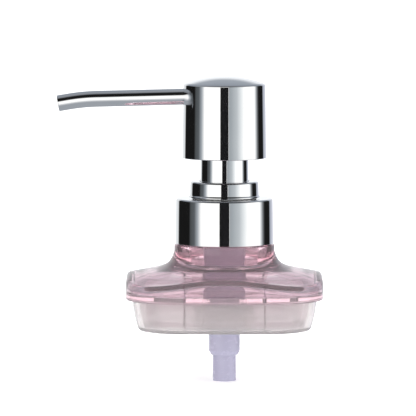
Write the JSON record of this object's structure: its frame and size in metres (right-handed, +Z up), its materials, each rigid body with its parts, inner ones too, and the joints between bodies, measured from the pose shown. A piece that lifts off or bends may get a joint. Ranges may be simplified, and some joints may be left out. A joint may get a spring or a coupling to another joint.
{
  "type": "soap pump dispenser",
  "caption": "Flared square bottle lid with a sealing packing, a screw collar and a lotion pump whose domed head carries a slim spout.",
  "frame": {"origin": "on the pump's axis, in the plane where the lid's ledge sits on the bottle's rim", "axes": "+Z up along the pump's axis; the spout points along -X; the lid's sides face along X and Y"},
  "size_m": [0.0975, 0.072, 0.1122],
  "materials": {
    "chrome": "mirror-bright plating",
    "lid_plastic": "clear pink, polished",
    "packing_rubber": "frosted, translucent",
    "nozzle_plastic": "milky, translucent",
    "white_plastic": "satin moulded",
    "seal_rubber": "soft matte",
    "spring_steel": "bright drawn wire"
  },
  "bodies": {
    "lid": {"lid_cover": "lid_plastic", "lid_base": "lid_plastic", "packing": "packing_rubber"},
    "pump_body": {"barrel": "nozzle_plastic", "dip_tube": "nozzle_plastic", "neck_gasket": "seal_rubber", "ball_retainer": "white_plastic", "chaplet": "white_plastic", "step_ring": "chrome", "neck_sleeve": "chrome", "stem_wiper": "seal_rubber", "return_spring": "spring_steel"},
    "collar": {"screw_collar": "chrome", "collar_liner": "white_plastic"},
    "plunger": {"stem": "white_plastic", "piston_seat": "white_plastic"},
    "piston": {"piston": "seal_rubber"},
    "ball": {"check_ball": "spring_steel"},
    "head": {"head_shell": "chrome", "head_core": "white_plastic", "spout_tube": "chrome"}
  },
  "joints": [
    {"name": "pump_rise", "type": "slide", "parent": "lid", "child": "pump_body", "axis": [0, 0, 1], "range_m": [0, 0.00375]},
    {"name": "collar_turn", "type": "hinge", "parent": "pump_body", "child": "collar", "pos_m": [0, 0, 0.0193], "axis": [0, 0, 1], "range_deg": [0, 450]},
    {"name": "head_press", "type": "slide", "parent": "pump_body", "child": "plunger", "axis": [0, 0, -1], "range_m": [0, 0.014], "stiffness_N_per_m": 700, "springref_m": -0.0114, "deforming": ["return_spring"]},
    {"name": "head_swivel", "type": "hinge", "parent": "plunger", "child": "head", "pos_m": [0, 0, 0.0686], "axis": [0, 0, 1], "continuous": true},
    {"name": "piston_slip", "type": "slide", "parent": "plunger", "child": "piston", "axis": [0, 0, 1], "range_m": [0, 0.0012]},
    {"name": "ball_lift", "type": "slide", "parent": "pump_body", "child": "ball", "axis": [0, 0, 1], "range_m": [0, 0.0015]}
  ],
  "couplings": [
    {"joint": "collar_turn", "follows": "pump_rise", "rad_per_m": 2094.4}
  ]
}
